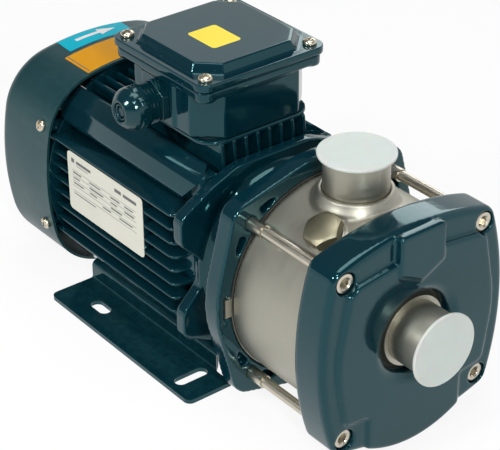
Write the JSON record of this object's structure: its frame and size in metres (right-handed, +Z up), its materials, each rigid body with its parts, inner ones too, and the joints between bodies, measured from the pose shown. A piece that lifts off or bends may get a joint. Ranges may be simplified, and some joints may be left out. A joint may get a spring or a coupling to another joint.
{
  "type": "centrifugal pump",
  "caption": "Horizontal multistage centrifugal pump: stainless barrel between a cast bracket and a suction cover, driven by a finned foot-mounted motor.",
  "frame": {"origin": "on the mounting plane, midway between the two front foot slots", "axes": "+X along the shaft towards the suction port, +Z up towards the discharge port, +Y away from the nameplate and cable gland side"},
  "size_m": [0.3766, 0.176, 0.2105],
  "materials": {
    "teal_enamel": "glossy enamel",
    "cover_enamel": "satin enamel",
    "stainless": "satin",
    "bright_zinc": "zinc plated",
    "plug_metal": "plated",
    "pale_plastic": "moulded",
    "enamelled_plastic": "painted over",
    "black_rubber": "matt",
    "lamination": "dull",
    "copper": "varnished",
    "cast_alloy": "as cast",
    "bearing_steel": "ground",
    "label_foil": "printed",
    "dark_moulding": "moulded",
    "ceramic": "lapped",
    "brass": "turned"
  },
  "bodies": {
    "pump": {"foot_bracket": "teal_enamel", "foot_bolts": "bright_zinc", "motor_frame": "teal_enamel", "stator_core": "lamination", "stator_windings": "copper", "pump_bracket": "teal_enamel", "bracket_screws": "bright_zinc", "rear_shield": "teal_enamel", "front_bearing_outer": "bearing_steel", "rear_bearing_outer": "bearing_steel", "wave_spring": "bearing_steel", "fan_cover": "cover_enamel", "fan_cover_screws": "bright_zinc", "nameplate": "label_foil", "terminal_box": "teal_enamel", "box_gasket": "black_rubber", "terminal_board": "dark_moulding", "terminal_studs": "brass", "lid_gasket": "black_rubber", "terminal_lid": "teal_enamel", "lid_screws": "bright_zinc", "gland_body": "enamelled_plastic", "gland_seal": "black_rubber", "gland_nut": "enamelled_plastic", "blanking_plug": "pale_plastic", "pump_barrel": "stainless", "discharge_nozzle": "stainless", "inlet_plate": "stainless", "suction_nozzle": "stainless", "barrel_gaskets": "black_rubber", "seal_plate": "stainless", "seal_seat": "ceramic", "neck_rings": "stainless", "suction_cover": "teal_enamel", "stay_bolts": "bright_zinc", "stay_bolt_sleeves": "bright_zinc", "diffuser_1": "stainless", "diffuser_2": "stainless", "diffuser_3": "stainless"},
    "rotor": {"shaft": "bearing_steel", "rotor_core": "lamination", "rotor_cage_rings": "cast_alloy", "front_bearing_inner": "bearing_steel", "rear_bearing_inner": "bearing_steel", "bearing_balls": "bearing_steel", "impeller_1": "stainless", "impeller_2": "stainless", "impeller_3": "stainless", "impeller_spacers": "stainless", "impeller_nut": "stainless", "seal_rotor": "stainless", "seal_bellows": "black_rubber", "cooling_fan": "dark_moulding", "fan_clip": "bearing_steel"},
    "suction_cap": {"suction_cap": "pale_plastic"},
    "discharge_cap": {"discharge_cap": "pale_plastic"},
    "priming_washer": {"priming_washer": "black_rubber"},
    "priming_plug": {"priming_plug": "plug_metal"},
    "drain_washer": {"drain_washer": "black_rubber"},
    "drain_plug": {"drain_plug": "plug_metal"}
  },
  "joints": [
    {"name": "rotor_spin", "type": "hinge", "parent": "pump", "child": "rotor", "pos_m": [0, 0, 0.08], "axis": [1, 0, 0], "continuous": true},
    {"name": "suction_cap_pull", "type": "slide", "parent": "pump", "child": "suction_cap", "axis": [1, 0, 0], "range_m": [0, 0.08]},
    {"name": "discharge_cap_pull", "type": "slide", "parent": "pump", "child": "discharge_cap", "axis": [0, 0, 1], "range_m": [0, 0.08]},
    {"name": "priming_plug_turn", "type": "hinge", "parent": "pump", "child": "priming_washer", "pos_m": [0.092, -0.0355, 0.14149], "axis": [0, -0.5, 0.866], "range_deg": [0, 2880]},
    {"name": "priming_plug_lift", "type": "slide", "parent": "priming_washer", "child": "priming_plug", "axis": [0, -0.5, 0.866], "range_m": [0, 0.0107]},
    {"name": "drain_plug_turn", "type": "hinge", "parent": "pump", "child": "drain_washer", "pos_m": [0.092, 0.06149, 0.0445], "axis": [0, 0.866, -0.5], "range_deg": [0, 2880]},
    {"name": "drain_plug_lift", "type": "slide", "parent": "drain_washer", "child": "drain_plug", "axis": [0, 0.866, -0.5], "range_m": [0, 0.0107]}
  ],
  "couplings": [
    {"joint": "priming_plug_lift", "follows": "priming_plug_turn", "m_per_rad": 0.00021279},
    {"joint": "drain_plug_lift", "follows": "drain_plug_turn", "m_per_rad": 0.00021279}
  ]
}
